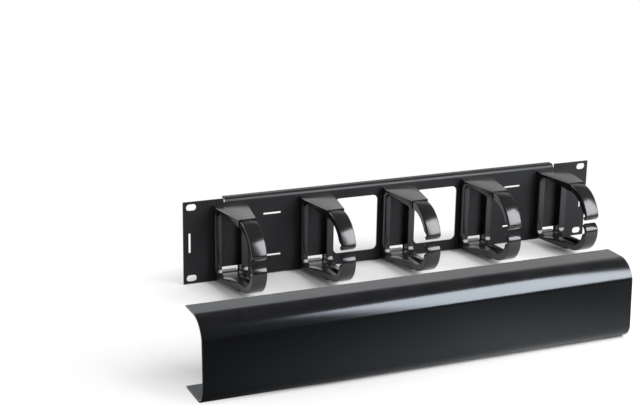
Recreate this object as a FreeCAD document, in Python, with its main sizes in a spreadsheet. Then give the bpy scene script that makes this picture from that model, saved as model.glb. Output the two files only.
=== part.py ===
import FreeCAD, Part
import math
import os
import Sketcher

# Horizontal cable manager for a 19-inch rack, two rack units high, in millimetres.
#
# X runs along the panel to the right as seen from the front, Y points back into the rack and Z up.
# The origin is the centre of the rack hole pattern on the panel's rear face, where the ears meet
# the rack's rails.  A folded steel panel carries five moulded D-rings, hooked into slots, and a
# C-section cover closes the row of rings.  The cover is modelled taken off, standing in front.

doc = FreeCAD.newDocument("CableManager")
sheet = doc.addObject("Spreadsheet::Sheet", "Dimensions")

# ---------------------------------------------------------------- driving dimensions

RING_COUNT = 5

DIMENSIONS = [
    # folded steel panel
    ("panel_width", 482.6, "overall width of a 19-inch panel"),
    ("panel_height", 88.1, "two rack units less clearance"),
    ("sheet_gauge", 1.5, "thickness of the steel sheet"),
    ("flange_depth", 10.0, "from the front face to the flange's rear edge"),
    ("flange_length", 392.0, "length of the two folded flanges between the ears"),
    ("bend_radius", 3.0, "inside radius of the folds"),
    ("relief_width", 1.5, "bend relief beside each flange end"),
    ("rack_hole_span", 465.1, "rack holes, left to right"),
    ("rack_hole_rise", 76.2, "rack holes, bottom to top"),
    ("rack_slot_length", 11.0, "rack hole, end to end"),
    ("rack_slot_width", 7.0, "rack hole, across"),
    ("ear_slit_inset", 6.8, "ear slit's centre line from the panel's end"),
    ("ear_slit_length", 21.0, "ear slit, end to end"),
    ("ear_slit_width", 2.4, "ear slit, across"),
    ("window_width", 51.0, "cable window, across"),
    ("window_height", 61.5, "cable window, bottom to top"),
    ("window_radius", 6.0, "cable window's corner radius"),
    ("strap_slit_length", 20.0, "strap slit, end to end"),
    ("strap_slit_width", 2.2, "strap slit, across"),
    ("strap_slit_rise", 45.8, "lower strap slit to upper strap slit"),
    # D-rings
    ("ring_pitch", 96.0, "ring to ring"),
    ("ring_height", 76.0, "over the two arms"),
    ("base_width", 36.0, "ring's width at the panel"),
    ("rail_width", 7.3, "each of the two upright rails of the base"),
    ("rail_depth", 9.0, "rails' front face from the panel"),
    ("root_radius", 8.0, "fillet from a rail into an arm"),
    ("arm_length", 55.0, "panel to the shoulder that stops the cover"),
    ("shoulder_width", 18.6, "arm's width at the shoulder"),
    ("bow_width", 17.0, "front bow's width just past the shoulder"),
    ("nose_width", 15.5, "front bow's width at the front"),
    ("band_wall", 3.0, "wall of the arms and of the bow"),
    ("rib_depth", 7.0, "bow's side ribs, measured inwards from its outer face"),
    ("channel_width", 11.0, "channel between the side ribs"),
    ("chin_height", 1.1, "straight front between the lower lip and the bow's lower corner"),
    ("mouth_rise", 1.8, "middle of the mouth above the ring's middle"),
    ("mouth_gap", 3.4, "between the two lips"),
    ("lip_rise", 5.6, "height of each turned-in lip"),
    ("lip_set", 1.4, "how far each lip's tip is turned in"),
    ("edge_bevel", 0.8, "bevel along the bow's outer edges"),
    ("hook_inset", 0.75, "step from an arm's outer face down to its hook"),
    ("hook_width", 18.0, "snap hook, across"),
    ("hook_wall", 3.2, "snap hook's tongue"),
    ("hook_catch", 2.6, "catch behind the panel"),
    ("hook_head", 2.2, "thickness of the catch"),
    ("hook_play", 0.3, "clearance of the hook in its slot and behind the panel"),
    ("hook_side_play", 0.9, "clearance at each end of a hook in its slot"),
    ("hook_spring", 4.4, "open part of the slot that lets the hook spring inwards"),
    # cover
    ("cover_length", 424.0, "length of the cover"),
    ("cover_wall", 1.8, "wall of the cover"),
    ("cover_depth", 45.0, "rear edges to front face"),
    ("cover_play", 0.3, "cover to ring, each side"),
    ("cover_top_flat", 21.0, "flat part of the top flange"),
    ("cover_brow_drop", 16.3, "from the top face down to the crease"),
    ("cover_brow_set", 2.1, "crease behind the foremost line of the front"),
    ("cover_heel_radius", 14.0, "lower bend, outside"),
    ("stand_side", 107.0, "cover at rest, to the left of the rings' middle"),
    ("stand_ahead", 190.0, "cover at rest, in front of its fitted place"),
]

for row, (alias, value, note) in enumerate(DIMENSIONS, start=1):
    sheet.set(f"A{row}", alias)
    sheet.set(f"B{row}", f"{value}")
    sheet.set(f"C{row}", note)
    sheet.setAlias(f"B{row}", alias)
doc.recompute()


class Size:
    """A length together with the spreadsheet formula that gives it."""

    def __init__(self, value, formula):
        self.value = value
        self.formula = formula

    def __add__(self, other):
        other = as_size(other)
        return Size(self.value + other.value, f"({self.formula} + {other.formula})")

    def __sub__(self, other):
        other = as_size(other)
        return Size(self.value - other.value, f"({self.formula} - {other.formula})")

    def __mul__(self, other):
        other = as_size(other)
        return Size(self.value * other.value, f"({self.formula} * {other.formula})")

    def __truediv__(self, other):
        other = as_size(other)
        return Size(self.value / other.value, f"({self.formula} / {other.formula})")

    def __neg__(self):
        return Size(-self.value, f"(0 - {self.formula})")


def as_size(number):
    """Wrap a plain number as a Size; a Size passes through."""
    return number if isinstance(number, Size) else Size(float(number), f"{number}")


def root(size):
    """Square root of a Size."""
    return Size(math.sqrt(size.value), f"sqrt({size.formula})")


dim = {alias: Size(value, f"Dimensions.{alias}") for alias, value, _ in DIMENSIONS}

# ---------------------------------------------------------------- sketches and features


def new_body(name):
    body = doc.addObject("PartDesign::Body", name)
    body.Label = name
    return body


def place(body, x, y, z):
    """Bind the body's position to the sheet."""
    for axis, size in zip("xyz", (x, y, z)):
        body.setExpression(f".Placement.Base.{axis}", as_size(size).formula)


def new_sketch(body, name, role):
    """A sketch on the body's own origin plane: XY_Plane, XZ_Plane or YZ_Plane."""
    plane = next(f for f in body.Origin.OriginFeatures if f.Role == role)
    sketch = body.newObject("Sketcher::SketchObject", name)
    sketch.AttachmentSupport = [(plane, "")]
    sketch.MapMode = "FlatFace"
    return sketch


def pin(sketch, kind, geometry, vertex, size):
    """Fix one coordinate of a point, measured from the sketch's origin, to its formula."""
    size = as_size(size)
    index = sketch.addConstraint(Sketcher.Constraint(kind, -1, 1, geometry, vertex, size.value))
    sketch.setExpression(f"Constraints[{index}]", size.formula)


def draw(sketch, steps):
    """Draw one closed outline.

    Each step is (x, y) for a straight line to the next corner, or (x, y, centre_x) for an arc to
    the next corner about a centre whose x is given.  A half circle bulges to the right of the way
    it runs.
    """
    corners = [(as_size(s[0]), as_size(s[1])) for s in steps]
    points = [FreeCAD.Vector(x.value, y.value, 0) for x, y in corners]
    first = sketch.GeometryCount
    count = len(steps)
    for i, step in enumerate(steps):
        start, end = points[i], points[(i + 1) % count]
        if len(step) == 2:
            sketch.addGeometry(Part.LineSegment(start, end))
            continue
        centre_x = as_size(step[2]).value
        centre = FreeCAD.Vector(centre_x, arc_centre_y(start, end, centre_x), 0)
        circle = Part.Circle(centre, FreeCAD.Vector(0, 0, 1), start.distanceToPoint(centre))
        angles = [math.atan2(p.y - centre.y, p.x - centre.x) for p in (start, end)]
        if math.sin(angles[1] - angles[0]) < -1e-9:
            angles.reverse()
        sketch.addGeometry(Part.ArcOfCircle(circle, *angles))
    for i in range(count):
        corner = points[(i + 1) % count]
        here, after = first + i, first + (i + 1) % count
        sketch.addConstraint(Sketcher.Constraint("Coincident", here, end_at(sketch, here, corner),
                                                 after, end_at(sketch, after, corner)))
    for i, step in enumerate(steps):
        here = first + i
        vertex = end_at(sketch, here, points[i])
        pin(sketch, "DistanceX", here, vertex, corners[i][0])
        pin(sketch, "DistanceY", here, vertex, corners[i][1])
        if len(step) == 3:
            pin(sketch, "DistanceX", here, 3, step[2])


def arc_centre_y(start, end, centre_x):
    """Height of the centre, at centre_x, that is as far from the start as from the end."""
    middle = (start + end) / 2
    chord = end - start
    return middle.y - (centre_x - middle.x) * chord.x / chord.y


def end_at(sketch, geometry, point):
    """Which end of a line or arc lies on the point: 1 for its start, 2 for its end."""
    curve = sketch.Geometry[geometry]
    return 1 if curve.StartPoint.distanceToPoint(point) < curve.EndPoint.distanceToPoint(point) else 2


def pad(body, sketch, name, length, both_ways=True):
    feature = body.newObject("PartDesign::Pad", name)
    feature.Profile = sketch
    feature.Midplane = both_ways
    feature.setExpression("Length", as_size(length).formula)
    sketch.Visibility = False
    return feature


def pocket(body, sketch, name, depth):
    """Cut a sketch's outline by the depth, half of it to each side of the sketch."""
    feature = body.newObject("PartDesign::Pocket", name)
    feature.Profile = sketch
    feature.Midplane = True
    feature.setExpression("Length", as_size(depth).formula)
    sketch.Visibility = False
    return feature


def obround(x, y, length, width):
    """Steps of a slot with round ends, its long way along the sketch's x."""
    run, half = (length - width) / 2, width / 2
    return [(x - run, y - half), (x + run, y - half, x + run),
            (x + run, y + half), (x - run, y + half, x - run)]


def rectangle(left, right, low, high):
    return [(left, low), (right, low), (right, high), (left, high)]


# ---------------------------------------------------------------- mounting panel

gauge = dim["sheet_gauge"]
top = dim["panel_height"] / 2
bend = dim["bend_radius"]
outer_bend = bend + gauge
flange_back = dim["flange_depth"] - gauge
flange_end = dim["flange_length"] / 2
through = gauge * 4

panel = new_body("mounting_panel")

# Section of the folded middle: web and the two flanges with their bends.
section = new_sketch(panel, "panel_section", "YZ_Plane")
draw(section, [
    (flange_back, top),
    (bend, top, bend),
    (-gauge, top - outer_bend),
    (-gauge, -top + outer_bend, bend),
    (bend, -top),
    (flange_back, -top),
    (flange_back, -top + gauge),
    (bend, -top + gauge, bend),
    (0, -top + outer_bend),
    (0, top - outer_bend, bend),
    (bend, top - gauge),
    (flange_back, top - gauge),
])
pad(panel, section, "folded_web", dim["flange_length"])

# Flat ears, full height, at both ends.
ears = new_sketch(panel, "ear_outline", "XZ_Plane")
draw(ears, rectangle(flange_end, dim["panel_width"] / 2, -top, top))
draw(ears, rectangle(-dim["panel_width"] / 2, -flange_end, -top, top))
pad(panel, ears, "ears", gauge, both_ways=False)

# Bend reliefs in the ears, beside the four flange ends.
reliefs = new_sketch(panel, "relief_outline", "XZ_Plane")
for side in (-1, 1):
    edges = sorted((flange_end * side, (flange_end + dim["relief_width"]) * side), key=lambda s: s.value)
    draw(reliefs, rectangle(edges[0], edges[1], top - outer_bend, top + gauge))
    draw(reliefs, rectangle(edges[0], edges[1], -top - gauge, -top + outer_bend))
pocket(panel, reliefs, "bend_reliefs", through)

# Four slotted rack holes, and the upright slit at mid-height of each ear.
holes = new_sketch(panel, "rack_hole_outline", "XZ_Plane")
for side_x in (-1, 1):
    for side_z in (-1, 1):
        draw(holes, obround(dim["rack_hole_span"] / 2 * side_x, dim["rack_hole_rise"] / 2 * side_z,
                            dim["rack_slot_length"], dim["rack_slot_width"]))
pocket(panel, holes, "rack_holes", through)

ear_slits = new_sketch(panel, "ear_slit_outline", "XZ_Plane")
for side in (-1, 1):
    slit_x = (dim["panel_width"] / 2 - dim["ear_slit_inset"]) * side
    half = dim["ear_slit_width"] / 2
    run = dim["ear_slit_length"] / 2
    draw(ear_slits, rectangle(slit_x - half, slit_x + half, -run, run))
pocket(panel, ear_slits, "ear_slits", through)

# Two cable windows, either side of the middle ring, and the strap slits outside them.
windows = new_sketch(panel, "window_outline", "XZ_Plane")
for side in (-1, 1):
    middle = dim["ring_pitch"] / 2 * side
    corner = dim["window_radius"]
    half = dim["window_width"] / 2
    rise = dim["window_height"] / 2
    draw(windows, [
        (middle - half + corner, -rise),
        (middle + half - corner, -rise, middle + half - corner),
        (middle + half, -rise + corner),
        (middle + half, rise - corner, middle + half - corner),
        (middle + half - corner, rise),
        (middle - half + corner, rise, middle - half + corner),
        (middle - half, rise - corner),
        (middle - half, -rise + corner, middle - half + corner),
    ])
pocket(panel, windows, "cable_windows", through)

strap_slits = new_sketch(panel, "strap_slit_outline", "XZ_Plane")
for side_x in (-1, 1):
    for side_z in (-1, 1):
        draw(strap_slits, obround(dim["ring_pitch"] * 1.5 * side_x, dim["strap_slit_rise"] / 2 * side_z,
                                  dim["strap_slit_length"], dim["strap_slit_width"]))
pocket(panel, strap_slits, "strap_slits", through)

# Two hook slots for the first ring, repeated for the other rings.
hook_outer = dim["ring_height"] / 2 - dim["hook_inset"]
hook_inner = hook_outer - dim["hook_wall"]
slot_outer = hook_outer + dim["hook_play"]
slot_inner = hook_inner - dim["hook_spring"]
slot_half = dim["hook_width"] / 2 + dim["hook_side_play"]
first_ring = dim["ring_pitch"] * ((1 - RING_COUNT) / 2)

hook_slots = new_sketch(panel, "hook_slot_outline", "XZ_Plane")
draw(hook_slots, rectangle(first_ring - slot_half, first_ring + slot_half, slot_inner, slot_outer))
draw(hook_slots, rectangle(first_ring - slot_half, first_ring + slot_half, -slot_outer, -slot_inner))
first_slots = pocket(panel, hook_slots, "first_hook_slots", through)
doc.recompute()

slot_row = panel.newObject("PartDesign::LinearPattern", "hook_slot_row")
slot_row.Originals = [first_slots]
slot_row.Direction = (hook_slots, ["H_Axis"])
slot_row.Occurrences = RING_COUNT
slot_row.setExpression("Length", (dim["ring_pitch"] * (RING_COUNT - 1)).formula)
panel.Tip = slot_row

# ---------------------------------------------------------------- D-rings

arm_top = dim["ring_height"] / 2
arm = dim["arm_length"]
bow = arm_top - dim["cover_wall"] - dim["cover_play"]
reach = arm + bow
band = dim["band_wall"]
rib = dim["rib_depth"]
rail = dim["rail_depth"]
fillet = dim["root_radius"]
lip_low = dim["mouth_rise"] - dim["mouth_gap"] / 2
lip_high = dim["mouth_rise"] + dim["mouth_gap"] / 2
mouth_low = lip_low - dim["lip_rise"]
mouth_high = lip_high + dim["lip_rise"]
heel = bow + mouth_low - dim["chin_height"]
brow = arm + root(bow * bow - mouth_high * mouth_high)
inner_bow = bow - rib
plate_bow = bow - band


def brow_at(radius):
    """Depth at which the arc of this radius about the brow's centre meets the upper lip's root."""
    rise = mouth_high + band
    return -arm - root(radius * radius - rise * rise)


def heel_at(wall):
    """Depth at which the heel, this far inside its outer face, meets the lower lip's root."""
    radius = heel - wall
    drop = band - dim["chin_height"]
    return heel - reach - root(radius * radius - drop * drop)


ring = new_body("d_ring_1")

# Side view: two arms, the shoulders that stop the cover, and the bow with its turned-in lips.
side_view = new_sketch(ring, "ring_side_view", "YZ_Plane")
draw(side_view, [
    (0, arm_top),
    (-arm, arm_top),
    (-arm, bow, -arm),
    (-brow, mouth_high),
    (-brow + dim["lip_set"], lip_high),
    (-brow + dim["lip_set"] + band, lip_high),
    (brow_at(inner_bow), mouth_high + band, -arm),
    (-arm, inner_bow),
    (-rail - fillet, arm_top - band, -rail - fillet),
    (-rail, arm_top - band - fillet),
    (-rail, -arm_top + band + fillet, -rail - fillet),
    (-rail - fillet, -arm_top + band),
    (-arm, -inner_bow),
    (-reach + heel, -bow + rib, -reach + heel),
    (heel_at(rib), mouth_low - band),
    (-reach + dim["lip_set"] + band, lip_low),
    (-reach + dim["lip_set"], lip_low),
    (-reach, mouth_low),
    (-reach, -bow + heel, -reach + heel),
    (-reach + heel, -bow),
    (-arm, -bow),
    (-arm, -arm_top),
    (0, -arm_top),
])
pad(ring, side_view, "ring_blank", dim["base_width"])

# Plan view: the sides run straight past the rails, taper to the shoulder, step in and taper on.
beyond = reach + band
plan_view = new_sketch(ring, "ring_plan_view", "XY_Plane")
for side in (-1, 1):
    draw(plan_view, [
        (dim["base_width"] / 2 * side, -rail),
        (dim["shoulder_width"] / 2 * side, -arm),
        (dim["bow_width"] / 2 * side, -arm),
        (dim["nose_width"] / 2 * side, -reach),
        (dim["nose_width"] / 2 * side, -beyond),
        (dim["base_width"] * side, -beyond),
        (dim["base_width"] * side, -rail),
    ])
pocket(ring, plan_view, "side_tapers", dim["ring_height"] * 2)

# Channel inside the arms and the bow, which leaves a side rib along each edge.
channel_view = new_sketch(ring, "channel_side_view", "YZ_Plane")
draw(channel_view, [
    (-rail - fillet, arm_top - band),
    (-arm, plate_bow, -arm),
    (brow_at(plate_bow), mouth_high + band),
    (-brow + dim["lip_set"] + band, lip_high),
    (-reach + dim["lip_set"] + band, lip_low),
    (heel_at(band), mouth_low - band, -reach + heel),
    (-reach + heel, -bow + band),
    (-arm, -bow + band),
    (-rail - fillet, -arm_top + band),
])
pocket(ring, channel_view, "band_channel", dim["channel_width"])

# Opening between the rails, from arm to arm.
base_window = new_sketch(ring, "base_window_outline", "XZ_Plane")
half_opening = dim["base_width"] / 2 - dim["rail_width"]
draw(base_window, rectangle(-half_opening, half_opening, band - arm_top, arm_top - band))
pocket(ring, base_window, "base_window", (rail + fillet) * 2)

# Snap hooks: a tongue through the panel and a ramped catch behind it, one up and one down.
catch_face = gauge + dim["hook_play"]
catch_tip = hook_outer + dim["hook_catch"]
hook_view = new_sketch(ring, "hook_side_view", "YZ_Plane")
for side in (-1, 1):
    draw(hook_view, [
        (-band, hook_inner * side),
        (catch_face + dim["hook_head"], hook_inner * side),
        (catch_face + dim["hook_head"], hook_outer * side),
        (catch_face + dim["hook_play"], catch_tip * side),
        (catch_face, catch_tip * side),
        (catch_face, hook_outer * side),
        (-band, hook_outer * side),
    ])
hooks = pad(ring, hook_view, "snap_hooks", dim["hook_width"])
doc.recompute()


def bow_edges(shape):
    """Names of the long outer edges of the bow: they run round it just outside its side ribs."""
    names = []
    for number, edge in enumerate(shape.Edges, start=1):
        middle = edge.valueAt((edge.FirstParameter + edge.LastParameter) / 2)
        upper = math.hypot(middle.y + arm.value, middle.z)
        lower = math.hypot(middle.y + reach.value - heel.value, middle.z + bow.value - heel.value)
        on_brow = middle.z > mouth_high.value and abs(upper - bow.value) < 0.01
        on_heel = middle.z < mouth_low.value and abs(lower - heel.value) < 0.01
        if (on_brow or on_heel) and middle.y < -arm.value and edge.Length > heel.value:
            names.append(f"Edge{number}")
    return names


bevel = ring.newObject("PartDesign::Chamfer", "bow_edges_bevelled")
bevel.Base = (hooks, bow_edges(hooks.Shape))
bevel.setExpression("Size", dim["edge_bevel"].formula)
ring.Tip = bevel
place(ring, first_ring, -gauge, 0)
doc.recompute()

# The other rings are copies of the first, one pitch apart.
rings = [ring]
for number in range(2, RING_COUNT + 1):
    copy = new_body(f"d_ring_{number}")
    base = copy.newObject("PartDesign::FeatureBase", f"ring_{number}_base")
    base.BaseFeature = ring
    copy.Tip = base
    place(copy, first_ring + dim["ring_pitch"] * (number - 1), -gauge, 0)
    rings.append(copy)

# ---------------------------------------------------------------- cover

cover = new_body("front_cover")
face = dim["cover_depth"]
flat = dim["cover_top_flat"]
wall = dim["cover_wall"]
crease_z = arm_top - dim["cover_brow_drop"]
crease_y = face - dim["cover_brow_set"]
heel_bend = dim["cover_heel_radius"]

# Radius of the brow: it leaves the top flange tangentially and ends at the crease.
brow_run = crease_y - flat
brow_drop = dim["cover_brow_drop"]
brow_radius = (brow_run * brow_run + brow_drop * brow_drop) / (brow_drop * 2)
inner_drop = root((brow_radius - wall) * (brow_radius - wall) - (brow_run - wall) * (brow_run - wall))
cover_section = new_sketch(cover, "cover_section", "YZ_Plane")
draw(cover_section, [
    (0, arm_top),
    (-flat, arm_top, -flat),
    (-crease_y, crease_z),
    (-face, -arm_top + heel_bend, -face + heel_bend),
    (-face + heel_bend, -arm_top),
    (0, -arm_top),
    (0, -arm_top + wall),
    (-face + heel_bend, -arm_top + wall, -face + heel_bend),
    (-face + wall, -arm_top + heel_bend),
    (-crease_y + wall, arm_top - brow_radius + inner_drop, -flat),
    (-flat, arm_top - wall),
    (0, arm_top - wall),
])
pad(cover, cover_section, "cover_shell", dim["cover_length"])
rest_y = -gauge - arm - dim["cover_play"] - dim["stand_ahead"]
place(cover, -dim["stand_side"], rest_y, arm_top - top)

# ---------------------------------------------------------------- check and write

doc.recompute()
parts = [panel] + rings + [cover]
failed = [o.Label for o in doc.Objects if "Invalid" in o.State or "Error" in o.State]
if failed:
    raise RuntimeError(f"features not built: {failed}")
for body in parts:
    if body.Shape.isNull() or not body.Shape.isValid() or len(body.Shape.Solids) != 1:
        raise RuntimeError(f"{body.Label} is not one valid solid")

os.makedirs("parts", exist_ok=True)
for body in parts:
    body.Shape.exportStep(f"parts/{body.Label}.step")
    box = body.Shape.BoundBox
    print(f"{body.Label}: {body.Shape.Volume / 1000:.2f} cm3, x {box.XMin:.1f} to {box.XMax:.1f}, "
          f"y {box.YMin:.1f} to {box.YMax:.1f}, z {box.ZMin:.1f} to {box.ZMax:.1f}")
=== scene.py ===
import math

import bpy
import numpy as np
from bpy.props import FloatProperty, FloatVectorProperty, PointerProperty
from mathutils import Euler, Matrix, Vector


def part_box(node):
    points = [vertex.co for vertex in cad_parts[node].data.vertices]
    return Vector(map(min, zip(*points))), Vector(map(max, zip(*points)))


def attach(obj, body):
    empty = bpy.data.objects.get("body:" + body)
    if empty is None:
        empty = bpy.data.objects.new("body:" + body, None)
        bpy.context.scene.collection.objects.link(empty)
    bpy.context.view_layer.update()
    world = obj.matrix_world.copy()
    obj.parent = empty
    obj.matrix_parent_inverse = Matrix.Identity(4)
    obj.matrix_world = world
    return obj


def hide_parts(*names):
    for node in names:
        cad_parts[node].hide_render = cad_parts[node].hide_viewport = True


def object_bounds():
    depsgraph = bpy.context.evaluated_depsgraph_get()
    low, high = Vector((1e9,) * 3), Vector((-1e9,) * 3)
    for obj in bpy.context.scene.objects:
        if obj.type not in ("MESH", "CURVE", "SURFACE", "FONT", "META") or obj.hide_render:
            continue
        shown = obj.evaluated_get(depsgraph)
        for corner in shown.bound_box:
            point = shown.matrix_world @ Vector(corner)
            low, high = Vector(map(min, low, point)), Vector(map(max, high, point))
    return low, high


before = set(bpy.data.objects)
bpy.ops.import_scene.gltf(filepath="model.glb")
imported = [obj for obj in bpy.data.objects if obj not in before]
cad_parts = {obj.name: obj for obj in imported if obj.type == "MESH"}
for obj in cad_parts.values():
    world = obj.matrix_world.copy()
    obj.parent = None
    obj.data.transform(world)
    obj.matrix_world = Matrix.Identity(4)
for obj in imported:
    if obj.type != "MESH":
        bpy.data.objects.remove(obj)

CAD_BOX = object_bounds()

bl_info = {
    "name": "Horizontal cable manager",
    "version": (1, 0, 0),
    "blender": (4, 5, 0),
    "location": "View3D > Sidebar > Cable Manager",
    "description": "Dresses a rack panel with moulded cable rings and its front cover, "
                   "and sets a small studio",
    "category": "Object",
}

RINGS = sorted(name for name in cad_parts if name.startswith("d_ring_"))
PANEL_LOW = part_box("mounting_panel")[0]
COVER_LOW, COVER_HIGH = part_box("front_cover")
RING_LOW, RING_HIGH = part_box("d_ring_3")

# Points on each part of a ring's band and of the cover's outer line.
LIP_CORNER_POINTS, LIP_TURN_POINTS, BOW_POINTS, ARM_POINTS, EDGE_POINTS = 6, 12, 40, 12, 4
BROW_POINTS, FRONT_POINTS, FLAT_POINTS, HEEL_POINTS = 40, 50, 30, 30

RIB_START = 0.6        # how deep in the plate a rib begins, as a share of the wall
LIP_RIB = 0.98         # depth of the ribs at the lips, as a share of the wall
RIB_EDGE = 0.6         # rounding of a rib's edges, as a share of the edge radius
RIB_INSET = 0.00002    # a rib's side lies this far inside the plate's side
CREASE_EASE = 0.0004   # the front starts this far below the crease, which softens it
COVER_RIM = 0.45       # rounding of the flanges' long edges, as a share of the wall
DUST_COLOUR = (0.30, 0.29, 0.28, 1)
WHITE, BLACK = (1, 1, 1, 1), (0, 0, 0, 1)


# ---------------------------------------------------------------- sizes and colours

class PanelFinish(bpy.types.PropertyGroup):
    colour: FloatVectorProperty(
        name="Powder coat", description="Colour of the panel's powder coat",
        subtype="COLOR", size=3, min=0, max=1, default=(0.0046, 0.0047, 0.0051))
    worn_colour: FloatVectorProperty(
        name="Rubbed powder coat", description="Colour where the coat is slightly rubbed",
        subtype="COLOR", size=3, min=0, max=1, default=(0.0078, 0.0080, 0.0085))
    roughness: FloatProperty(
        name="Roughness", description="Roughness of the coat away from any rubbing",
        subtype="FACTOR", min=0, max=1, default=0.40)
    grain: FloatProperty(
        name="Grain", description="Distance between the coat's fine pimples",
        subtype="DISTANCE", unit="LENGTH", min=0.0001, default=0.0009)


class RingSizes(bpy.types.PropertyGroup):
    height: FloatProperty(
        name="Height", description="Height of the base and the arms, over all",
        subtype="DISTANCE", unit="LENGTH", default=0.076)
    base_width: FloatProperty(
        name="Base width", description="Width of the base against the panel",
        subtype="DISTANCE", unit="LENGTH", default=RING_HIGH.x - RING_LOW.x)
    rail_width: FloatProperty(
        name="Rail width", description="Width of each upright rail of the base",
        subtype="DISTANCE", unit="LENGTH", default=0.0073)
    rail_depth: FloatProperty(
        name="Rail depth", description="Depth of the base's rails",
        subtype="DISTANCE", unit="LENGTH", default=0.009)
    root_radius: FloatProperty(
        name="Root radius", description="Radius between a rail and an arm",
        subtype="DISTANCE", unit="LENGTH", default=0.008)
    arm_length: FloatProperty(
        name="Arm length", description="From the panel to the shoulder",
        subtype="DISTANCE", unit="LENGTH", default=0.055)
    shoulder_width: FloatProperty(
        name="Shoulder width", description="Width of an arm at its shoulder",
        subtype="DISTANCE", unit="LENGTH", default=0.0186)
    bow_width: FloatProperty(
        name="Bow width", description="Width of the bow just past the shoulder",
        subtype="DISTANCE", unit="LENGTH", default=0.017)
    nose_width: FloatProperty(
        name="Nose width", description="Width of the bow at its nose",
        subtype="DISTANCE", unit="LENGTH", default=0.0155)
    shoulder_step: FloatProperty(
        name="Shoulder step", description="Step from an arm's outer face down to the bow",
        subtype="DISTANCE", unit="LENGTH", default=0.0021)
    wall: FloatProperty(
        name="Wall", description="Wall of the band",
        subtype="DISTANCE", unit="LENGTH", default=0.003)
    rib_depth: FloatProperty(
        name="Rib depth", description="Depth of the band with its side ribs",
        subtype="DISTANCE", unit="LENGTH", default=0.007)
    channel_width: FloatProperty(
        name="Channel width", description="Width of the channel between the ribs",
        subtype="DISTANCE", unit="LENGTH", default=0.011)
    mouth_rise: FloatProperty(
        name="Mouth rise", description="Middle of the mouth above the ring's middle",
        subtype="DISTANCE", unit="LENGTH", default=0.0018)
    mouth_gap: FloatProperty(
        name="Mouth gap", description="Gap between the two lips",
        subtype="DISTANCE", unit="LENGTH", default=0.0034)
    upper_lip_radius: FloatProperty(
        name="Upper lip radius", description="Radius of the turn from the bow into the upper lip",
        subtype="DISTANCE", unit="LENGTH", default=0.0036)
    lower_lip_radius: FloatProperty(
        name="Lower lip radius", description="Radius of the turn from the bow into the lower lip",
        subtype="DISTANCE", unit="LENGTH", default=0.0077)
    lip_lean: FloatProperty(
        name="Lip lean", description="How far a lip turns in from the upright",
        subtype="ANGLE", unit="ROTATION", default=math.radians(52))
    lip_height: FloatProperty(
        name="Lip height", description="Height of the straight part of a lip",
        subtype="DISTANCE", unit="LENGTH", default=0.0026)
    lip_corner: FloatProperty(
        name="Lip corner", description="Rounding of a lip's corners, seen from the front",
        subtype="DISTANCE", unit="LENGTH", default=0.0015)
    rib_runout: FloatProperty(
        name="Rib run-out", description="Length over which the ribs grow from the lip's wall",
        subtype="DISTANCE", unit="LENGTH", default=0.006)
    edge_radius: FloatProperty(
        name="Edge radius", description="Rounding of the band's outer edges",
        subtype="DISTANCE", unit="LENGTH", default=0.0009)


class HookSizes(bpy.types.PropertyGroup):
    inset: FloatProperty(
        name="Inset", description="From an arm's outer face down to its hook",
        subtype="DISTANCE", unit="LENGTH", default=0.00075)
    width: FloatProperty(
        name="Width", description="Width of a snap hook",
        subtype="DISTANCE", unit="LENGTH", default=0.018)
    tongue: FloatProperty(
        name="Tongue", description="Thickness of the hook's tongue",
        subtype="DISTANCE", unit="LENGTH", default=0.0032)
    catch: FloatProperty(
        name="Catch", description="How far the catch stands out behind the panel",
        subtype="DISTANCE", unit="LENGTH", default=0.0026)
    head: FloatProperty(
        name="Head", description="Thickness of the catch",
        subtype="DISTANCE", unit="LENGTH", default=0.0022)
    sheet: FloatProperty(
        name="Sheet", description="Panel thickness and play that the hook spans",
        subtype="DISTANCE", unit="LENGTH", default=0.0018)


class CoverSizes(bpy.types.PropertyGroup):
    wall: FloatProperty(
        name="Wall", description="Wall of the cover",
        subtype="DISTANCE", unit="LENGTH", default=0.0018)
    top_flat: FloatProperty(
        name="Top flat", description="Flat part of the top flange",
        subtype="DISTANCE", unit="LENGTH", default=0.021)
    brow_drop: FloatProperty(
        name="Brow drop", description="From the top face down to the crease",
        subtype="DISTANCE", unit="LENGTH", default=0.0163)
    brow_set: FloatProperty(
        name="Brow set", description="Crease behind the foremost line of the front",
        subtype="DISTANCE", unit="LENGTH", default=0.0021)
    heel_radius: FloatProperty(
        name="Heel radius", description="Radius of the lower bend",
        subtype="DISTANCE", unit="LENGTH", default=0.014)
    edge_radius: FloatProperty(
        name="Edge radius", description="Rounding of the cut ends",
        subtype="DISTANCE", unit="LENGTH", default=0.0004)


class PlasticFinish(bpy.types.PropertyGroup):
    ring_colour: FloatVectorProperty(
        name="Ring plastic", description="Colour of the moulded rings",
        subtype="COLOR", size=3, min=0, max=1, default=(0.0034, 0.0034, 0.0038))
    ring_roughness: FloatProperty(
        name="Ring roughness", description="Roughness of the rings",
        subtype="FACTOR", min=0, max=1, default=0.20)
    ring_light_colour: FloatVectorProperty(
        name="Pale ring plastic", description="Colour of the rings' paler flecks",
        subtype="COLOR", size=3, min=0, max=1, default=(0.006, 0.006, 0.0064))
    cover_colour: FloatVectorProperty(
        name="Cover plastic", description="Colour of the extruded cover",
        subtype="COLOR", size=3, min=0, max=1, default=(0.0022, 0.0023, 0.0026))
    cover_light_colour: FloatVectorProperty(
        name="Pale cover plastic", description="Colour of the cover's paler streaks",
        subtype="COLOR", size=3, min=0, max=1, default=(0.0036, 0.0038, 0.0042))
    cover_roughness: FloatProperty(
        name="Cover roughness", description="Roughness of the cover",
        subtype="FACTOR", min=0, max=1, default=0.18)


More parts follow.
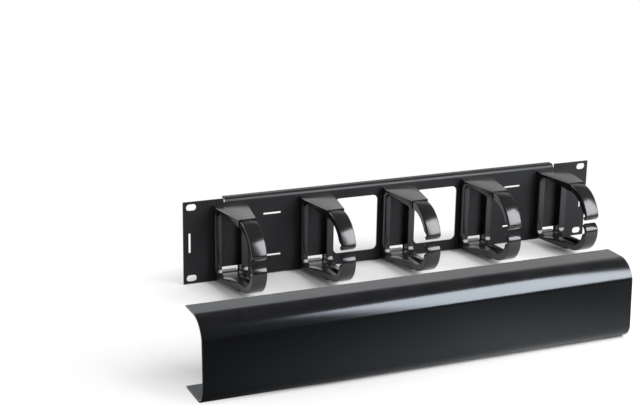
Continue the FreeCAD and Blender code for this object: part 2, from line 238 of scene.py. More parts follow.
class StudioSettings(bpy.types.PropertyGroup):
    azimuth: FloatProperty(
        name="Azimuth", description="Camera's turn about the upright axis",
        subtype="ANGLE", unit="ROTATION", default=math.radians(-23.44))
    elevation: FloatProperty(
        name="Elevation", description="Camera's height above the horizon",
        subtype="ANGLE", unit="ROTATION", default=math.radians(16.85))
    roll: FloatProperty(
        name="Roll", description="Camera's turn about its own line of sight",
        subtype="ANGLE", unit="ROTATION", default=math.radians(0.96))
    distance: FloatProperty(
        name="Distance", description="Camera to its aim",
        subtype="DISTANCE", unit="LENGTH", default=1.5316)
    aim: FloatVectorProperty(
        name="Aim", description="Point that the camera looks at",
        subtype="XYZ", unit="LENGTH", size=3, default=(-0.0900, -0.0015, 0.0287))
    lens: FloatProperty(
        name="Lens", description="Focal length for a 36 mm wide sensor",
        min=10, max=300, default=81.62)
    floor_colour: FloatVectorProperty(
        name="Floor", description="Colour of the floor and the backdrop",
        subtype="COLOR", size=3, min=0, max=1, default=(0.47, 0.47, 0.47))
    ambient: FloatProperty(
        name="Room light", description="Strength of the room's even light",
        min=0, max=2, default=1.25)
    dim_room: FloatProperty(
        name="Dim room", description="Strength of the room in reflections, away from the backdrop",
        min=0, max=1, default=0.12)
    softbox: FloatProperty(
        name="Softbox", description="Power of the softbox",
        min=0, max=500, default=80)
    rear_fill: FloatProperty(
        name="Rear fill", description="Power of the weak lamp behind the object",
        min=0, max=500, default=14)


# ---------------------------------------------------------------- surfaces

def grid_faces(stations, loop):
    """Quads between neighbouring stations of a tube whose every station is a closed loop."""
    i = np.arange(stations - 1)[:, None] * loop
    j = np.arange(loop)[None, :]
    k = (j + 1) % loop
    return np.stack([i + j, i + k, i + loop + k, i + loop + j], axis=-1).reshape(-1, 4)


def tube(points):
    """Closed surface through stations of one loop each: quads along it and a flat face on each end.

    points has the shape (stations, loop, 3).  A surface is its points and a list of face arrays,
    one array for each number of corners.
    """
    stations, loop = points.shape[:2]
    ends = np.stack([np.arange(loop)[::-1], np.arange(loop) + (stations - 1) * loop])
    return points.reshape(-1, 3), [grid_faces(stations, loop), ends]


def join(surfaces):
    """One surface from several, their faces counted on from the points before them."""
    points, faces, base = [], [], 0
    for part, blocks in surfaces:
        points.append(part)
        faces += [block + base for block in blocks]
        base += len(part)
    return np.vstack(points), faces


def make_object(name, surface, sharp=35):
    """Mesh object at the origin from a surface, smooth up to the sharp angle in degrees."""
    points, faces = surface
    mesh = bpy.data.meshes.new(name)
    mesh.from_pydata(points.tolist(), [], [face for block in faces for face in block.tolist()])
    if mesh.validate():
        raise RuntimeError(f"{name}: the surface had bad faces")
    mesh.shade_smooth()
    mesh.set_sharp_from_angle(angle=math.radians(sharp))
    piece = bpy.data.objects.new(name, mesh)
    bpy.context.scene.collection.objects.link(piece)
    return piece


def arc(centre, radius, start, end, count):
    """Points on a circle from one angle to another, in degrees from the first axis."""
    angle = np.radians(np.linspace(start, end, count))
    return np.asarray(centre) + radius * np.stack([np.cos(angle), np.sin(angle)], axis=-1)


def run(start, end, count):
    """Evenly spaced points on a straight line, both ends among them."""
    return np.linspace(start, end, count)


def outward(surface):
    """The same surface with its faces turned outwards.

    The volume enclosed is the sum of corner . (next corner x corner after) over the triangles that
    fan out from each face's first corner; where it is negative, every face is turned round.
    """
    points, faces = surface
    volume = 0.0
    for block in faces:
        corners = points[block]
        fan = np.cross(corners[:, 1:-1], corners[:, 2:])
        volume += (fan @ corners[:, 0, :, None]).sum()
    return surface if volume > 0 else (points, [block[:, ::-1] for block in faces])


def rounded_extrusion(front, back, ends, radius, steps=4):
    """Bent sheet carried along X, with its two cut ends rounded.

    front and back are the two faces' points of one section, (count, 2) each, in step with each
    other.  A station at the angle a of the rounding lies radius (1 - sin a) inside the end and has
    both faces moved towards each other by radius (1 - cos a).
    """
    across = back - front
    thick = np.linalg.norm(across, axis=1, keepdims=True)
    across = across / thick
    angle = np.radians(np.linspace(90, 0, steps))
    inset = radius * (1 - np.cos(angle))
    along = radius * (1 - np.sin(angle))
    x = np.concatenate([ends[0] + along, ends[1] - along[::-1]])
    inset = np.concatenate([inset, inset[::-1]])[:, None, None]
    near = front[None] + across[None] * inset
    far = back[None] - across[None] * inset
    section = np.concatenate([near, far[:, ::-1]], axis=1)
    x = np.broadcast_to(x[:, None, None], section.shape[:2] + (1,))
    points = np.concatenate([x, section], axis=2)
    stations, loop = points.shape[:2]
    strip = np.arange(len(front) - 1)
    cap = np.stack([strip, loop - 1 - strip, loop - 2 - strip, strip + 1], axis=1)
    quads = [grid_faces(stations, loop), cap, (cap + (stations - 1) * loop)[:, ::-1]]
    return points.reshape(-1, 3), [np.concatenate(quads)]


def sheet_section(line, wall, edge, steps=5):
    """Two faces of a bent sheet from its outer face's line, both edges of the sheet rounded.

    The inner face lies one wall inside along the line's normals; within the edge radius of an
    edge both faces close in on the middle along a quarter circle.  The line's own points that lie
    clear of the edges are kept.
    """
    tangent = np.gradient(line, axis=0)
    tangent /= np.linalg.norm(tangent, axis=1, keepdims=True)
    normal = np.stack([-tangent[:, 1], tangent[:, 0]], axis=1)
    length = np.concatenate([[0], np.cumsum(np.linalg.norm(np.diff(line, axis=0), axis=1))])
    total = length[-1]
    quarter = np.sin(np.linspace(0, np.pi / 2, steps))
    head = edge * (1 - quarter[::-1])
    clear = (length > edge * 1.2) & (length < total - edge * 1.2)
    at = np.unique(np.round(np.concatenate([head, length[clear], total - head[::-1]]), 9))
    y, z = np.interp(at, length, line[:, 0]), np.interp(at, length, line[:, 1])
    ny, nz = np.interp(at, length, normal[:, 0]), np.interp(at, length, normal[:, 1])
    scale = np.hypot(ny, nz)
    inward = np.stack([ny / scale, nz / scale], axis=1)
    near = np.minimum(at, total - at)
    sunk = np.clip(edge - near, 0, edge)
    close = edge - np.sqrt(np.clip(edge * edge - sunk * sunk, 0, None))
    outer = np.stack([y, z], axis=1) + inward * close[:, None]
    inner = np.stack([y, z], axis=1) + inward * (wall - close)[:, None]
    return outer, inner


# ---------------------------------------------------------------- cover

def cover_line(sizes, low, high):
    """Outer line of the cover's C section in Y and Z, from the top's rear edge to the bottom's.

    A flat top, a brow arc that leaves it tangentially and ends at the crease, a straight front
    that leans out to its foot, and a quarter-round heel into the lower flange.
    """
    rear, face = high.y, low.y
    top, foot = high.z, low.z
    flat = rear - sizes.top_flat
    crease_y, crease_z = face + sizes.brow_set, top - sizes.brow_drop
    across = flat - crease_y
    radius = (across ** 2 + sizes.brow_drop ** 2) / (2 * sizes.brow_drop)
    sweep = math.degrees(math.asin(across / radius))
    heel = (face + sizes.heel_radius, foot + sizes.heel_radius)
    brow = arc((flat, top - radius), radius, 90, 90 + sweep, BROW_POINTS)
    crease = np.array([crease_y, crease_z])
    lean = np.array([face - crease_y, heel[1] - crease_z])
    lean /= np.linalg.norm(lean)
    return np.concatenate([
        run((rear, top), (flat, top), FLAT_POINTS)[:-1],
        brow[:-1],
        run(crease + lean * CREASE_EASE, (face, heel[1]), FRONT_POINTS)[:-1],
        arc(heel, sizes.heel_radius, 180, 270, HEEL_POINTS)[:-1],
        run((heel[0], foot), (rear, foot), FLAT_POINTS)])


def cover_surface(sizes):
    """The cover: its C section with rounded edges, carried along X."""
    line = cover_line(sizes, COVER_LOW, COVER_HIGH)
    outer, inner = sheet_section(line, sizes.wall, sizes.wall * COVER_RIM)
    ends = COVER_LOW.x, COVER_HIGH.x
    return outward(rounded_extrusion(outer, inner, ends, sizes.edge_radius))


# ---------------------------------------------------------------- rings

def band_path(s, upper):
    """Side view of one half of the band, from its lip's tip back to the root of its arm.

    At a turn t, measured from the horizontal towards the mouth, the outward normal is
    n = (-cos t, -side sin t).  The bow is centre + radius n, the lip's turn is an arc that leaves
    it tangentially, and the lip ends with a straight part at the lean.  The lower bow is the
    smaller one and runs on level to the shoulder.  The plate's inner line lies one wall inside
    along n.  The ribs' lines start just under it at the lip and reach their depth over the
    run-out, along 3 g^2 - 2 g^3.  Returns outer, plate and rib points in Y and Z, a zone that is 1
    on the bow and 0 on the arm, and what the lip's rounded corner takes off the half width, all
    in step.
    """
    side = 1 if upper else -1
    top, bow = s.height / 2, s.height / 2 - s.shoulder_step
    tip = s.mouth_rise + side * s.mouth_gap / 2
    sine, cosine = math.sin(s.lip_lean), math.cos(s.lip_lean)
    if upper:
        turn_in, radius, centre = s.upper_lip_radius, bow, np.array([-s.arm_length, 0.0])
        start = -math.asin((tip + s.lip_height + turn_in * sine) / (radius - turn_in))
    else:
        turn_in, start = s.lower_lip_radius, 0.0
        radius = bow + tip - s.lip_height - turn_in * sine
        centre = np.array([radius - s.arm_length - bow, radius - bow])

    def normal(turn):
        return np.stack([-np.cos(turn), -side * np.sin(turn)], axis=1)

    lip_turns = np.linspace(s.lip_lean, start, LIP_TURN_POINTS)
    bow_turns = np.linspace(start, -np.pi / 2, BOW_POINTS)[1:]
    quarter = np.linspace(0, np.pi / 2, LIP_CORNER_POINTS)
    straight = s.lip_height / cosine
    back_off = np.concatenate([s.lip_corner * (1 - np.cos(quarter)), [straight * 0.8]])
    lip_centre = centre + (radius - turn_in) * normal(np.array([start]))
    lip_arc = lip_centre + turn_in * normal(lip_turns)
    lip = lip_arc[:1] + np.array([sine, -side * cosine]) * (straight - back_off)[:, None]
    outer = np.concatenate([lip, lip_arc, centre + radius * normal(bow_turns)])
    turns = np.concatenate([np.full(len(lip), s.lip_lean), lip_turns, bow_turns])
    grown = np.clip((start - turns) * radius / s.rib_runout, 0, 1)
    shallow = s.wall * LIP_RIB
    rib_depth = shallow + (s.rib_depth - shallow) * grown * grown * (3 - 2 * grown)
    inward = -normal(turns)
    bands = outer, outer + inward * s.wall, outer + inward * rib_depth[:, None]
    back = -s.rail_depth - s.root_radius
    levels = (bow, bow - s.wall, bow - s.rib_depth)
    roots = ((top, top), (levels[1], top - s.wall), (levels[2], top - s.wall))
    lines = []
    for line, level, (root_start, root_end) in zip(bands, levels, roots):
        shoulder = np.array([(-s.arm_length, side * level)])[:0 if upper else 1]
        arm = run((-s.arm_length, side * root_start), (back, side * root_end), ARM_POINTS)
        lines.append(np.concatenate([line, shoulder, arm]))
    zone = (np.arange(len(lines[0])) < len(outer)).astype(float)
    trim = np.zeros(len(zone))
    trim[:LIP_CORNER_POINTS] = s.lip_corner * (1 - np.sin(quarter))
    return *lines, zone, trim


def half_width(s, y, zone):
    """Half the ring's width at a depth y: straight past the rails, tapering to the shoulder, and
    from there, a step narrower, tapering on to the nose."""
    reach = s.arm_length + s.height / 2 - s.shoulder_step
    arm = np.interp(-y, [s.rail_depth, s.arm_length], [s.base_width / 2, s.shoulder_width / 2])
    bow = np.interp(-y, [s.arm_length, reach], [s.bow_width / 2, s.nose_width / 2])
    return np.where(zone > 0.5, bow, arm)


def corner_turn(steps):
    """Cosine and sine of the angles over one rounded corner."""
    angle = np.linspace(0, np.pi / 2, steps)
    return np.cos(angle), np.sin(angle)


def place_section(s, outer, inner, zone, trim, side, shift, depth):
    """Points of a swept section.

    At each station a point lies at its own depth on the way from the outer to the inner line, and
    at side times the ring's half width there, less the trim, plus a shift across.
    """
    way = inner - outer
    way /= np.linalg.norm(way, axis=1, keepdims=True)
    yz = outer[:, None, :] + way[:, None, :] * depth[..., None]
    x = side * (half_width(s, yz[..., 0], zone[:, None]) - trim[:, None]) + shift
    return np.concatenate([x[..., None], yz], axis=2)


def plate_surface(s, outer, plate, zone, trim):
    """Band plate: a strip of the full width, its two outer edges rounded with the edge radius."""
    r = s.edge_radius
    thick = np.linalg.norm(plate - outer, axis=1)[:, None]
    cos, sin = corner_turn(EDGE_POINTS)
    half = EDGE_POINTS + 1
    side = np.concatenate([np.ones(half), -np.ones(half)])[None, :]
    shift = np.concatenate([[0], -r + r * cos, (r - r * cos)[::-1], [0]])[None, :]
    rounding = np.concatenate([r - r * sin, (r - r * sin)[::-1]])
    rounding = np.broadcast_to(rounding, (len(outer), 2 * EDGE_POINTS))
    depth = np.concatenate([thick, rounding, thick], axis=1)
    return outward(tube(place_section(s, outer, plate, zone, trim, side, shift, depth)))


def rib_surface(s, outer, rib, zone, trim, inside, start, mirror):
    """Side rib and rail: from the inside edge out to the ring's side, its inner corners rounded."""
    r = s.edge_radius * RIB_EDGE
    deep = np.linalg.norm(rib - outer, axis=1)[:, None]
    cos, sin = corner_turn(EDGE_POINTS)
    way = (rib - outer) / deep
    depth = np.concatenate([start[:, None], deep - r + r * sin, deep - r + r * sin[::-1],
                            start[:, None]], axis=1)
    yz = outer[:, None, :] + way[:, None, :] * depth[..., None]
    wide = half_width(s, yz[..., 0], zone[:, None]) - trim[:, None] - RIB_INSET
    out_x = np.concatenate([wide[:, :1], wide[:, 1:EDGE_POINTS + 1] - r + r * cos], axis=1)
    in_x = np.concatenate([inside[:, None] + r - r * cos[::-1], inside[:, None]], axis=1)
    x = np.concatenate([out_x, in_x], axis=1) * (-1 if mirror else 1)
    return outward(tube(np.concatenate([x[..., None], yz], axis=2)))


def rail_path(s, upper):
    """Stations from an arm's root round the corner into its rail.

    The inner points lie on a quarter circle of the root radius.  The outer points run along the
    arm's outer face and, from just below it, down the base.  Returns outer and inner points and
    the depth at which the rail starts, in step.
    """
    along, down, before_base, below_top = 5, 4, 0.0006, 0.0012
    top, back = s.height / 2, -s.rail_depth - s.root_radius
    centre = (back, top - s.wall - s.root_radius)
    inner = arc(centre, s.root_radius, 90, 0, along + down)
    outer = np.concatenate([run((back, top), (-before_base, top), along),
                            run((0, top - below_top), (0, centre[1]), down)])
    start = np.repeat([s.wall * RIB_START, 0], [along, down])
    flip = np.array([1, 1 if upper else -1])
    return outer * flip, inner * flip, start


def hook_surface(s, h, upper):
    """Snap hook: a tongue through the panel with a ramped catch behind it, carried along X."""
    high = s.height / 2 - h.inset
    low, blunt = high - h.tongue, 0.0003
    profile = np.array([(-s.wall, low), (h.sheet + h.head, low), (h.sheet + h.head, high),
                        (h.sheet + blunt, high + h.catch), (h.sheet, high + h.catch),
                        (h.sheet, high), (-s.wall, high)]) * [1, 1 if upper else -1]
    x = np.array([-h.width / 2, h.width / 2])
    points = np.concatenate([np.broadcast_to(x[:, None, None], (2, len(profile), 1)),
                             np.broadcast_to(profile, (2,) + profile.shape)], axis=2)
    return outward(tube(points))


def extend(part, count, value=0.0):
    """The same values with a number of equal ones after them."""
    return np.concatenate([part, np.full(count, value)])


def ring_surface(s, h):
    """One moulded D-ring about its own middle, its base on the plane y = 0.

    Two band plates from lip to base, two ribs that run from lip to lip round the whole D and
    become the base's rails, and two snap hooks.
    """
    opening = s.base_width / 2 - s.rail_width
    pieces, halves = [], []
    for upper in (True, False):
        outer, plate, rib, zone, trim = band_path(s, upper)
        side = 1 if upper else -1
        base = run((outer[-1, 0], side * s.height / 2), (0, side * s.height / 2), 4)[1:]
        under = base - np.array([0, side * s.wall])
        pieces.append(plate_surface(
            s, np.concatenate([outer, base]), np.concatenate([plate, under]),
            extend(zone, len(base)), extend(trim, len(base))))
        pieces.append(hook_surface(s, h, upper))
        corner_outer, corner_inner, corner_start = rail_path(s, upper)
        count = len(corner_outer)
        inside = extend(np.full(len(outer), s.channel_width / 2), count, opening)
        start = np.concatenate([np.full(len(outer), s.wall * RIB_START), corner_start])
        halves.append((np.concatenate([outer, corner_outer]), np.concatenate([rib, corner_inner]),
                       extend(zone, count), extend(trim, count), inside, start))
    joined = [np.concatenate([a, b[::-1]]) for a, b in zip(*halves)]
    for mirror in (False, True):
        pieces.append(rib_surface(s, *joined, mirror))
    return join(pieces)


# ---------------------------------------------------------------- shared effects

def effect_group(name, inputs, outputs):
    """Empty shader node group with its named sockets: (name, kind, default) each."""
    group = bpy.data.node_groups.new(name, "ShaderNodeTree")
    for label, kind, default in inputs:
        socket = group.interface.new_socket(name=label, in_out="INPUT", socket_type=kind)
        if default is not None:
            socket.default_value = default
    for label, kind in outputs:
        group.interface.new_socket(name=label, in_out="OUTPUT", socket_type=kind)
    return group, group.nodes.new("NodeGroupInput"), group.nodes.new("NodeGroupOutput")


def maths(group, operation, a, b, clamp=False):
    """Math node; a and b are sockets or numbers."""
    node = group.nodes.new("ShaderNodeMath")
    node.operation = operation
    node.use_clamp = clamp
    for socket, value in zip(node.inputs, (a, b)):
        if isinstance(value, bpy.types.NodeSocket):
            group.links.new(value, socket)
        else:
            socket.default_value = value
    return node.outputs[0]


def noise(group, vector, scale, detail=2.0, roughness=0.5):
    """Noise texture's value; scale is a socket or a number."""
    node = group.nodes.new("ShaderNodeTexNoise")
    node.inputs["Detail"].default_value = detail
    node.inputs["Roughness"].default_value = roughness
    group.links.new(vector, node.inputs["Vector"])
    if isinstance(scale, bpy.types.NodeSocket):
        group.links.new(scale, node.inputs["Scale"])
    else:
        node.inputs["Scale"].default_value = scale
    return node.outputs["Fac"]


def remap(group, value, low, high, to_low, to_high):
    """Map Range node, clamped; the target ends are sockets or numbers."""
    node = group.nodes.new("ShaderNodeMapRange")
    for label, end in (("Value", value), ("From Min", low), ("From Max", high),
                       ("To Min", to_low), ("To Max", to_high)):
        if isinstance(end, bpy.types.NodeSocket):
            group.links.new(end, node.inputs[label])
        else:
            node.inputs[label].default_value = end
    return node.outputs["Result"]


def mix_colour(group, share, a, b):
    """Mix node on colours; each argument is a socket or a value."""
    node = group.nodes.new("ShaderNodeMix")
    node.data_type = "RGBA"
    for socket, value in zip((node.inputs[0], node.inputs[6], node.inputs[7]), (share, a, b)):
        if isinstance(value, bpy.types.NodeSocket):
            group.links.new(value, socket)
        else:
            socket.default_value = value
    return node.outputs[2]


def grain_group():
    """Fine grain with slow drift: colour, roughness and height that vary over a surface.

    The paler colour's share is the drift times a speckle coarser than the grain; the roughness
    runs over its spread with seven parts of drift and three of grain.
    """
    group, given, result = effect_group("Fine grain", [
        ("Vector", "NodeSocketVector", None), ("Colour", "NodeSocketColor", (0.01, 0.01, 0.01, 1)),
        ("Light Colour", "NodeSocketColor", (0.02, 0.02, 0.02, 1)),
        ("Roughness", "NodeSocketFloat", 0.3), ("Spread", "NodeSocketFloat", 0.05),
        ("Grain Scale", "NodeSocketFloat", 900.0), ("Drift Scale", "NodeSocketFloat", 14.0)], [
        ("Colour", "NodeSocketColor"), ("Roughness", "NodeSocketFloat"),
        ("Height", "NodeSocketFloat")])
    vector, scale = given.outputs["Vector"], given.outputs["Grain Scale"]
    fine = noise(group, vector, scale, detail=1.0)
    drift = noise(group, vector, given.outputs["Drift Scale"], detail=3.0, roughness=0.6)
    speckle = noise(group, vector, maths(group, "MULTIPLY", scale, 0.22))
    share = maths(group, "MULTIPLY", remap(group, drift, 0.35, 0.75, 0.0, 0.6),
                  remap(group, speckle, 0.3, 0.7, 0.55, 1.0))
    colour = mix_colour(group, share, given.outputs["Colour"], given.outputs["Light Colour"])
    lower = maths(group, "SUBTRACT", given.outputs["Roughness"], given.outputs["Spread"])
    upper = maths(group, "ADD", given.outputs["Roughness"], given.outputs["Spread"])
    uneven = maths(group, "ADD", maths(group, "MULTIPLY", drift, 0.7),
                   maths(group, "MULTIPLY", fine, 0.3))
    rough = remap(group, uneven, 0.3, 0.7, lower, upper)
    group.links.new(colour, result.inputs["Colour"])
    group.links.new(rough, result.inputs["Roughness"])
    group.links.new(fine, result.inputs["Height"])
    return group


def dust_group():
    """Thin dust on faces that look up, in faint uneven patches."""
    group, given, result = effect_group("Settled dust", [
        ("Vector", "NodeSocketVector", None), ("Amount", "NodeSocketFloat", 0.1)],
        [("Mask", "NodeSocketFloat")])
    normal = group.nodes.new("ShaderNodeNewGeometry").outputs["Normal"]
    split = group.nodes.new("ShaderNodeSeparateXYZ")
    group.links.new(normal, split.inputs[0])
    up = remap(group, split.outputs["Z"], 0.55, 1.0, 0.0, 1.0)
    clouds = noise(group, given.outputs["Vector"], 38.0, detail=4.0, roughness=0.65)
    patch = remap(group, clouds, 0.35, 0.8, 0.2, 1.0)
    mask = maths(group, "MULTIPLY", maths(group, "MULTIPLY", up, patch), given.outputs["Amount"])
    group.links.new(mask, result.inputs["Mask"])
    return group


def finish(name, colour, light_colour, roughness, spread, grain, drift, bump, dust, gloss, tint,
           stretch=(1, 1, 1)):
    """Material of one finish: a Principled shader fed by the grain and dust groups.

    Both groups read Object coordinates, the grain's scaled by the stretch.  spread is how far the
    roughness varies, grain and drift are the scales of the fine and the slow pattern, gloss is the
    specular level, and tint is the specular tint, a painted blue cast on the reflections that
    stands in for the studio light's colour.
    """
    material = bpy.data.materials.new(name)
    material.use_nodes = True
    tree = material.node_tree
    shader = tree.nodes["Principled BSDF"]
    place = tree.nodes.new("ShaderNodeTexCoord")
    turn = tree.nodes.new("ShaderNodeMapping")
    turn.inputs["Scale"].default_value = stretch
    tree.links.new(place.outputs["Object"], turn.inputs["Vector"])
    grains = tree.nodes.new("ShaderNodeGroup")
    grains.node_tree = bpy.data.node_groups.get("Fine grain") or grain_group()
    grains.inputs["Colour"].default_value = (*colour, 1)
    grains.inputs["Light Colour"].default_value = (*light_colour, 1)
    grains.inputs["Roughness"].default_value = roughness
    grains.inputs["Spread"].default_value = spread
    grains.inputs["Grain Scale"].default_value = grain
    grains.inputs["Drift Scale"].default_value = drift
    tree.links.new(turn.outputs["Vector"], grains.inputs["Vector"])
    settled = tree.nodes.new("ShaderNodeGroup")
    settled.node_tree = bpy.data.node_groups.get("Settled dust") or dust_group()
    settled.inputs["Amount"].default_value = dust
    tree.links.new(place.outputs["Object"], settled.inputs["Vector"])
    mask = settled.outputs["Mask"]
    tree.links.new(mix_colour(tree, mask, grains.outputs["Colour"], DUST_COLOUR),
                   shader.inputs["Base Color"])
    dulled = maths(tree, "MULTIPLY", mask, 0.5)
    tree.links.new(maths(tree, "ADD", grains.outputs["Roughness"], dulled, clamp=True),
                   shader.inputs["Roughness"])
    lift = tree.nodes.new("ShaderNodeBump")
    lift.inputs["Strength"].default_value = bump
    lift.inputs["Distance"].default_value = 0.0001
    tree.links.new(grains.outputs["Height"], lift.inputs["Height"])
    tree.links.new(lift.outputs["Normal"], shader.inputs["Normal"])
    shader.inputs["Specular IOR Level"].default_value = gloss
    # Painted light: the specular tint gives reflections a blue cast that stands in for the studio
    # light's colour.
    shader.inputs["Specular Tint"].default_value = (*tint, 1)
    return material


def dress(piece, material):
    """Give a piece, new or carried over, one material in every slot."""
    if not piece.data.materials:
        piece.data.materials.append(material)
    for slot in piece.material_slots:
        slot.material = material


# ---------------------------------------------------------------- operators

class MANAGER_OT_coat_panel(bpy.types.Operator):
    """Powder-coat the folded steel panel"""
    bl_idname = "manager.coat_panel"
    bl_label = "Coat Panel"

    def execute(self, context):
        look = context.scene.manager_panel
        # tint is a painted blue cast on the coat's reflections, standing in for the light's colour.
        dress(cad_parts["mounting_panel"], finish(
            "satin_powder_coat", look.colour, look.worn_colour, look.roughness, spread=0.06,
            grain=1 / look.grain, drift=9.0, bump=0.35, dust=0.03, gloss=0.26,
            tint=(0.92, 0.95, 1.0)))
        return {"FINISHED"}


class MANAGER_OT_mould_rings(bpy.types.Operator):
    """Mould the row of D-rings with rounded edges, ribs and snap hooks"""
    bl_idname = "manager.mould_rings"
    bl_label = "Mould Rings"

    def execute(self, context):
        sizes, hooks = context.scene.manager_ring, context.scene.manager_hook
        look = context.scene.manager_plastic
        # tint is a painted blue cast on the rings' reflections, standing in for the light's colour.
        material = finish(
            "glossy_ring_plastic", look.ring_colour, look.ring_light_colour, look.ring_roughness,
            spread=0.05, grain=1500.0, drift=30.0, bump=0.10, dust=0.03, gloss=0.42,
            tint=(0.94, 0.96, 1.0))
        points, faces = ring_surface(sizes, hooks)
        for name in RINGS:
            low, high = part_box(name)
            place = np.array([(low.x + high.x) / 2, PANEL_LOW.y, 0.0])
            piece = make_object(name.replace("d_ring", "moulded_ring"), (points + place, faces))
            dress(piece, material)
            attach(piece, "panel")
            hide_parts(name)
        return {"FINISHED"}


class MANAGER_OT_extrude_cover(bpy.types.Operator):
    """Extrude the C-section front cover with rounded cut ends and a soft crease"""
    bl_idname = "manager.extrude_cover"
    bl_label = "Extrude Cover"

    def execute(self, context):
        look = context.scene.manager_plastic
        piece = make_object("extruded_cover", cover_surface(context.scene.manager_cover))
        # tint is a painted blue cast on the cover's reflections, standing in for the light's
        # colour.
        dress(piece, finish(
            "satin_cover_plastic", look.cover_colour, look.cover_light_colour,
            look.cover_roughness, spread=0.05, grain=1300.0, drift=16.0, bump=0.08, dust=0.02,
            gloss=0.46, tint=(0.80, 0.89, 1.0), stretch=(0.25, 1, 1)))
        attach(piece, "cover")
        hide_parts("front_cover")
        return {"FINISHED"}


def add_softbox(name, place, aim, width, height, power):
    """Rectangular lamp at a place, turned to face its aim."""
    lamp = bpy.data.lights.new(name, "AREA")
    lamp.shape = "RECTANGLE"
    lamp.size, lamp.size_y = width, height
    lamp.energy = power
    holder = bpy.data.objects.new(name, lamp)
    holder.location = place
    holder.rotation_euler = (Vector(aim) - Vector(place)).to_track_quat("-Z", "Y").to_euler()
    bpy.context.scene.collection.objects.link(holder)
    return holder


def paper_material(colour):
    """Pale paper that keeps the object's shadows about it and glows evenly white further out.

    The distance is measured in an ellipse about the object, 1 at its rim.  In reflections the
    paper's colour is a painted reflection, not its lit colour: painted brightest ahead of the
    object towards the softbox, painted dim to both sides and further forward, full beside the
    object and behind the cover, and painted paler between the panel and the cover.  Each ramp
    below is where it starts and ends, in metres, and its values there.
    """
    material = bpy.data.materials.new("pale_floor")
    material.use_nodes = True
    tree = material.node_tree
    shader = tree.nodes["Principled BSDF"]
    shader.inputs["Roughness"].default_value = 0.9
    shader.inputs["Specular IOR Level"].default_value = 0.0
    light = tree.nodes.new("ShaderNodeLightPath")
    glossy = light.outputs["Is Glossy Ray"]
    place = tree.nodes.new("ShaderNodeTexCoord")
    spot = tree.nodes.new("ShaderNodeSeparateXYZ")
    tree.links.new(place.outputs["Object"], spot.inputs[0])
    x, y = spot.outputs["X"], spot.outputs["Y"]
    low, high = CAD_BOX
    left, front = low[0], low[1]
    beside_ramp = (left - 0.06, left - 0.01, 1.0, 0.0)
    left_ramp = (left + 0.01, left + 0.31, 0.12, 1.0)
    right_ramp = (left + 0.35, left + 0.50, 1.0, 0.42)
    ahead_ramp, ahead_power = (front - 0.20, front - 0.04, 0.20, 1.0), 1.6
    past_cover_ramp = (front + 0.03, front + 0.06, 0.0, 1.0)
    between_ramps = ((front + 0.03, front + 0.07, 0.0, 1.0), (-0.15, -0.09, 1.0, 0.0))
    paler_painted_reflection = (0.80, 0.80, 0.80, 1)
    behind_ramp = (0.0, 0.2, 0.0, 1.0)
    rim_margin, rim_ramp = 0.04, (0.90, 1.20, 0.0, 1.0)

    # Painted reflection: for glossy rays the paper's colour is painted by place, darker to the
    # sides and ahead, and paler between the panel and the cover.
    across = maths(tree, "MULTIPLY", remap(tree, x, *left_ramp), remap(tree, x, *right_ramp))
    ahead = maths(tree, "POWER", remap(tree, y, *ahead_ramp), ahead_power)
    mirrored = maths(tree, "MAXIMUM", maths(tree, "MULTIPLY", across, ahead),
                     remap(tree, x, *beside_ramp))
    mirrored = maths(tree, "MAXIMUM", mirrored, remap(tree, y, *past_cover_ramp))
    between = maths(tree, "MULTIPLY", *(remap(tree, y, *ramp) for ramp in between_ramps))
    painted_reflection_mix = mix_colour(tree, between, (*colour, 1), paler_painted_reflection)
    painted_floor_reflection = mix_colour(tree, mirrored, BLACK, painted_reflection_mix)
    tree.links.new(mix_colour(tree, glossy, (*colour, 1), painted_floor_reflection),
                   shader.inputs["Base Color"])

    centred = tree.nodes.new("ShaderNodeMapping")
    centred.vector_type = "TEXTURE"
    centred.inputs["Location"].default_value = (
        (low[0] + high[0]) / 2, (low[1] + high[1]) / 2, low[2])
    centred.inputs["Scale"].default_value = (
        (high[0] - low[0]) / 2 + rim_margin, (high[1] - low[1]) / 2 + rim_margin, 1)
    tree.links.new(place.outputs["Object"], centred.inputs["Vector"])
    distance = tree.nodes.new("ShaderNodeVectorMath")
    distance.operation = "LENGTH"
    tree.links.new(centred.outputs["Vector"], distance.inputs[0])
    behind = maths(tree, "MULTIPLY", glossy, remap(tree, y, *behind_ramp))
    seen = maths(tree, "MAXIMUM", light.outputs["Is Camera Ray"],
                 light.outputs["Is Transmission Ray"])
    seen = maths(tree, "MAXIMUM", seen, behind)
    share = maths(tree, "MULTIPLY", remap(tree, distance.outputs["Value"], *rim_ramp), seen)
    glow = tree.nodes.new("ShaderNodeEmission")
    mix = tree.nodes.new("ShaderNodeMixShader")
    tree.links.new(share, mix.inputs[0])
    tree.links.new(shader.outputs[0], mix.inputs[1])
    tree.links.new(glow.outputs[0], mix.inputs[2])
    tree.links.new(mix.outputs[0], tree.nodes["Material Output"].inputs["Surface"])
    return material


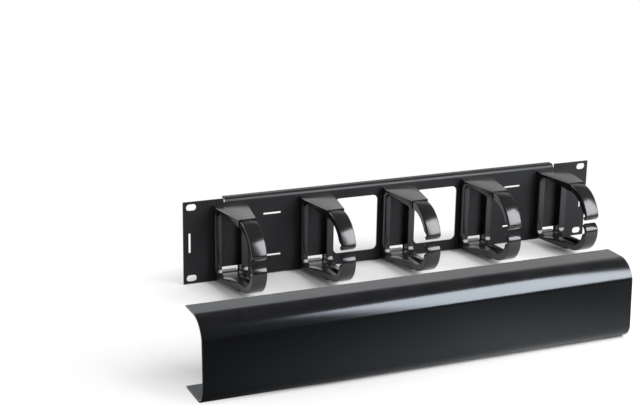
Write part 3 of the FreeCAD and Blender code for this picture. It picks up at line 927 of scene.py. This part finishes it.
def room_world(ambient, dim_room):
    """White room for the camera; reflections see it bright only low behind the object, and its
    even light on matt surfaces is the ambient strength.

    The ramps run over the parts of the direction looked in: how far it points back, up and to
    the right.
    """
    back_ramp, up_ramp = (0.0, 0.5, 0.0, 1.0), (0.38, 0.62, 1.0, 0.0)
    backdrop_ramp = (0.30, 0.55, 1.35, 0.75)
    world = bpy.data.worlds.new("studio_room")
    world.use_nodes = True
    tree = world.node_tree
    split = tree.nodes.new("ShaderNodeSeparateXYZ")
    tree.links.new(tree.nodes.new("ShaderNodeTexCoord").outputs["Generated"], split.inputs[0])
    behind = maths(tree, "MULTIPLY", remap(tree, split.outputs["Y"], *back_ramp),
                   remap(tree, split.outputs["Z"], *up_ramp))
    backdrop = remap(tree, split.outputs["X"], *backdrop_ramp)
    mirrored = remap(tree, behind, 0.0, 1.0, dim_room, backdrop)
    light = tree.nodes.new("ShaderNodeLightPath")
    gloss = maths(tree, "MAXIMUM", light.outputs["Is Glossy Ray"],
                  light.outputs["Is Transmission Ray"])
    strength = remap(tree, gloss, 0.0, 1.0, ambient, mirrored)
    background = tree.nodes["Background"]
    background.inputs["Color"].default_value = WHITE
    tree.links.new(remap(tree, light.outputs["Is Camera Ray"], 0.0, 1.0, strength, 1.0),
                   background.inputs["Strength"])
    return world


class MANAGER_OT_set_studio(bpy.types.Operator):
    """Lay the floor, light the room and aim the camera"""
    bl_idname = "manager.set_studio"
    bl_label = "Set Studio"

    def execute(self, context):
        scene, studio = context.scene, context.scene.manager_studio
        half, floor_z = 8.0, CAD_BOX[0][2]
        corners = np.array([(-half, -half, floor_z), (half, -half, floor_z),
                            (half, half, floor_z), (-half, half, floor_z)])
        floor = make_object("studio_floor", (corners, [np.arange(4)[None]]))
        dress(floor, paper_material(studio.floor_colour))
        scene.world = room_world(studio.ambient, studio.dim_room)
        # The softbox falls off over a dimmer strip along its left side.
        place, aim = Vector((0.97, -1.24, 1.03)), Vector((0.31, -0.18, 0.42))
        width, height, strip, strip_share = 1.2, 1.42, 0.16, 0.35
        add_softbox("front_softbox", place, aim, width, height, studio.softbox)
        aside = (aim - place).cross(Vector((0, 0, 1))).normalized() * -(width + strip) / 2
        add_softbox("softbox_edge", place + aside, aim + aside, strip, height,
                    studio.softbox * strip_share * strip / width)
        add_softbox("rear_fill", place=(-1.0, 1.3, 0.9), aim=(0, 0, 0), width=0.9, height=0.9,
                    power=studio.rear_fill)

        camera = bpy.data.cameras.new("studio_camera")
        camera.sensor_width = 36
        camera.lens = studio.lens
        camera.clip_start, camera.clip_end = 0.05, 50
        holder = bpy.data.objects.new("studio_camera", camera)
        turn = Euler((math.pi / 2 - studio.elevation, 0, studio.azimuth), "XYZ").to_matrix()
        away = turn @ Vector((0, 0, studio.distance))
        holder.location = Vector(studio.aim) + away
        holder.rotation_euler = (turn @ Euler((0, 0, studio.roll), "XYZ").to_matrix()).to_euler()
        scene.collection.objects.link(holder)
        scene.camera = holder
        scene.view_settings.view_transform = "Standard"
        return {"FINISHED"}


class MANAGER_PT_sidebar(bpy.types.Panel):
    """Sizes, colours and steps of the cable manager"""
    bl_idname = "MANAGER_PT_sidebar"
    bl_label = "Cable Manager"
    bl_space_type = "VIEW_3D"
    bl_region_type = "UI"
    bl_category = "Cable Manager"

    def draw(self, context):
        for settings, steps in SETTINGS_AND_STEPS:
            box = self.layout.box()
            for name in settings:
                group = getattr(context.scene, name)
                for prop in group.bl_rna.properties:
                    if not prop.is_readonly and prop.identifier != "name":
                        box.prop(group, prop.identifier)
            for step in steps:
                box.operator(step.bl_idname)


SETTINGS = {
    "manager_panel": PanelFinish,
    "manager_ring": RingSizes,
    "manager_hook": HookSizes,
    "manager_cover": CoverSizes,
    "manager_plastic": PlasticFinish,
    "manager_studio": StudioSettings,
}
SETTINGS_AND_STEPS = (
    (("manager_panel",), (MANAGER_OT_coat_panel,)),
    (("manager_ring", "manager_hook", "manager_plastic"), (MANAGER_OT_mould_rings,)),
    (("manager_cover",), (MANAGER_OT_extrude_cover,)),
    (("manager_studio",), (MANAGER_OT_set_studio,)),
)
CLASSES = tuple(SETTINGS.values()) + tuple(
    step for _, steps in SETTINGS_AND_STEPS for step in steps) + (MANAGER_PT_sidebar,)


def register():
    for cls in CLASSES:
        bpy.utils.register_class(cls)
    for name, group in SETTINGS.items():
        setattr(bpy.types.Scene, name, PointerProperty(type=group))


def unregister():
    for name in SETTINGS:
        delattr(bpy.types.Scene, name)
    for cls in reversed(CLASSES):
        bpy.utils.unregister_class(cls)


def main():
    register()
    bpy.ops.manager.coat_panel()
    bpy.ops.manager.mould_rings()
    bpy.ops.manager.extrude_cover()
    bpy.ops.manager.set_studio()


if __name__ == "__main__":
    main()
